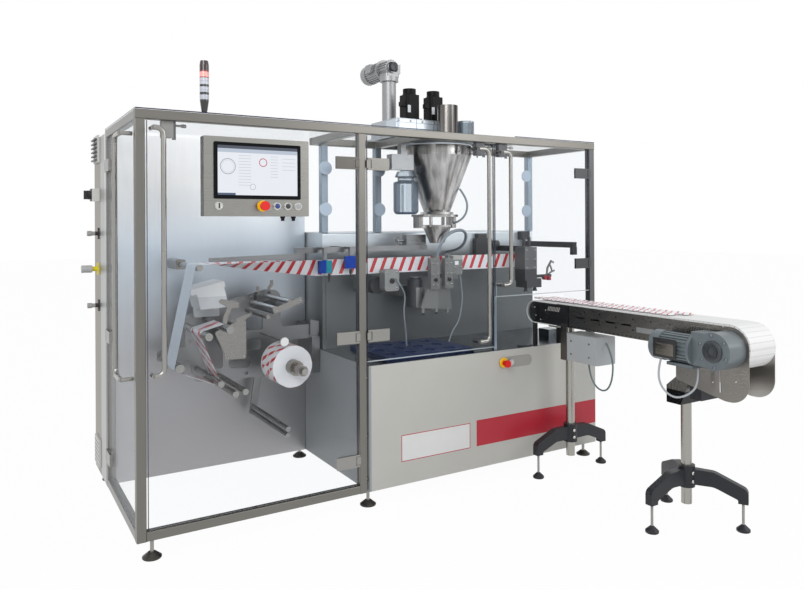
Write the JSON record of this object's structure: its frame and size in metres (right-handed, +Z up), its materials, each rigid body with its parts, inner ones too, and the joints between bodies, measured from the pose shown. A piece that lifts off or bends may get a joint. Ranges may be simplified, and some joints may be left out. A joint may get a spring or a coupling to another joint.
{
  "type": "pouch packing machine",
  "caption": "Guarded horizontal form, fill and seal machine with film unwinder, powder hopper, clear hinged doors, operator panel and a belt conveyor that carries the pouches out.",
  "frame": {"origin": "centre of the front left levelling foot's underside, on the floor", "axes": "+X right along the machine's front, +Y back towards the control cabinet, +Z up"},
  "size_m": [2.73, 2.463, 2.39],
  "materials": {
    "aluminium": "satin",
    "belt_plastic": "matte",
    "black_plastic": "matte",
    "blue_plastic": "matte",
    "box_paint": "satin",
    "cabinet_paint": "satin",
    "cable_rubber": "matte",
    "clear_sheet": "clear",
    "dark_steel": "satin",
    "drive_paint": "satin",
    "film": "gloss",
    "guard_steel": "satin",
    "hinge_metal": "satin",
    "hose_plastic": "gloss",
    "lamp_plastic": "gloss",
    "red_plastic": "gloss",
    "station_paint": "satin",
    "steel": "brushed",
    "wall_paint": "satin"
  },
  "bodies": {
    "machine": {"air_hoses": "hose_plastic", "base_cabinet": "cabinet_paint", "cabinet_fittings": "black_plastic", "control_box": "box_paint", "control_cabinet": "cabinet_paint", "conveyor_belt": "belt_plastic", "conveyor_drive": "drive_paint", "conveyor_frame": "steel", "door_switches": "black_plastic", "filler_deck": "steel", "filler_drives": "black_plastic", "filler_tubes": "clear_sheet", "film_feed": "film", "film_fold": "film", "film_rollers": "aluminium", "fixed_panes": "clear_sheet", "format_tray": "blue_plastic", "front_stop": "red_plastic", "funnel": "steel", "guard_cross_rails": "guard_steel", "guard_long_beams": "guard_steel", "guard_posts": "guard_steel", "hinge_blocks": "hinge_metal", "hopper": "steel", "hopper_lid": "clear_sheet", "lift_column": "steel", "machine_feet": "dark_steel", "motor_cable": "cable_rubber", "pane_clamps": "steel", "pouch_web": "film", "printer_housing": "box_paint", "process_wall": "wall_paint", "signal_column": "lamp_plastic", "stand_bases": "black_plastic", "stand_masts": "steel", "table_top": "steel", "transfer_arm": "dark_steel", "unwind_brackets": "steel", "unwind_plate": "wall_paint", "unwind_shafts": "dark_steel", "wall_stations": "station_paint", "web_rail": "steel"},
    "left_front_door": {"left_front_door_pane": "clear_sheet", "left_front_door_hinge_plates": "hinge_metal", "left_front_door_handle": "steel", "operator_panel": "steel", "operator_buttons": "black_plastic"},
    "bay_left_door": {"bay_left_door_pane": "clear_sheet", "bay_left_door_hinge_plates": "hinge_metal", "bay_left_door_handle": "steel"},
    "bay_right_door": {"bay_right_door_pane": "clear_sheet", "bay_right_door_hinge_plates": "hinge_metal", "bay_right_door_handle": "steel"},
    "left_end_door": {"left_end_door_pane": "clear_sheet", "left_end_door_hinge_plates": "hinge_metal", "left_end_door_handle": "steel"},
    "reel_rotor": {"reel_chuck": "aluminium", "film_reel": "film"},
    "dancer": {"dancer_arm": "aluminium"}
  },
  "joints": [
    {"name": "left_front_door_hinge", "type": "hinge", "parent": "machine", "child": "left_front_door", "pos_m": [0.962, -0.024, 1], "axis": [0, 0, 1], "range_deg": [0, 100]},
    {"name": "bay_left_door_hinge", "type": "hinge", "parent": "machine", "child": "bay_left_door", "pos_m": [1.03, -0.024, 1.2], "axis": [0, 0, 1], "range_deg": [-100, 0]},
    {"name": "bay_right_door_hinge", "type": "hinge", "parent": "machine", "child": "bay_right_door", "pos_m": [2.526, -0.024, 1.4], "axis": [0, 0, 1], "range_deg": [0, 100]},
    {"name": "left_end_door_hinge", "type": "hinge", "parent": "machine", "child": "left_end_door", "pos_m": [-0.068, 0.713, 1], "axis": [0, 0, -1], "range_deg": [0, 100]},
    {"name": "reel_spin", "type": "hinge", "parent": "machine", "child": "reel_rotor", "pos_m": [0.731, 0.32, 0.684], "axis": [0, 1, 0], "continuous": true},
    {"name": "dancer_swing", "type": "hinge", "parent": "machine", "child": "dancer", "pos_m": [0.72, 0.677, 0.64], "axis": [0, 1, 0], "range_deg": [-25, 25]}
  ]
}
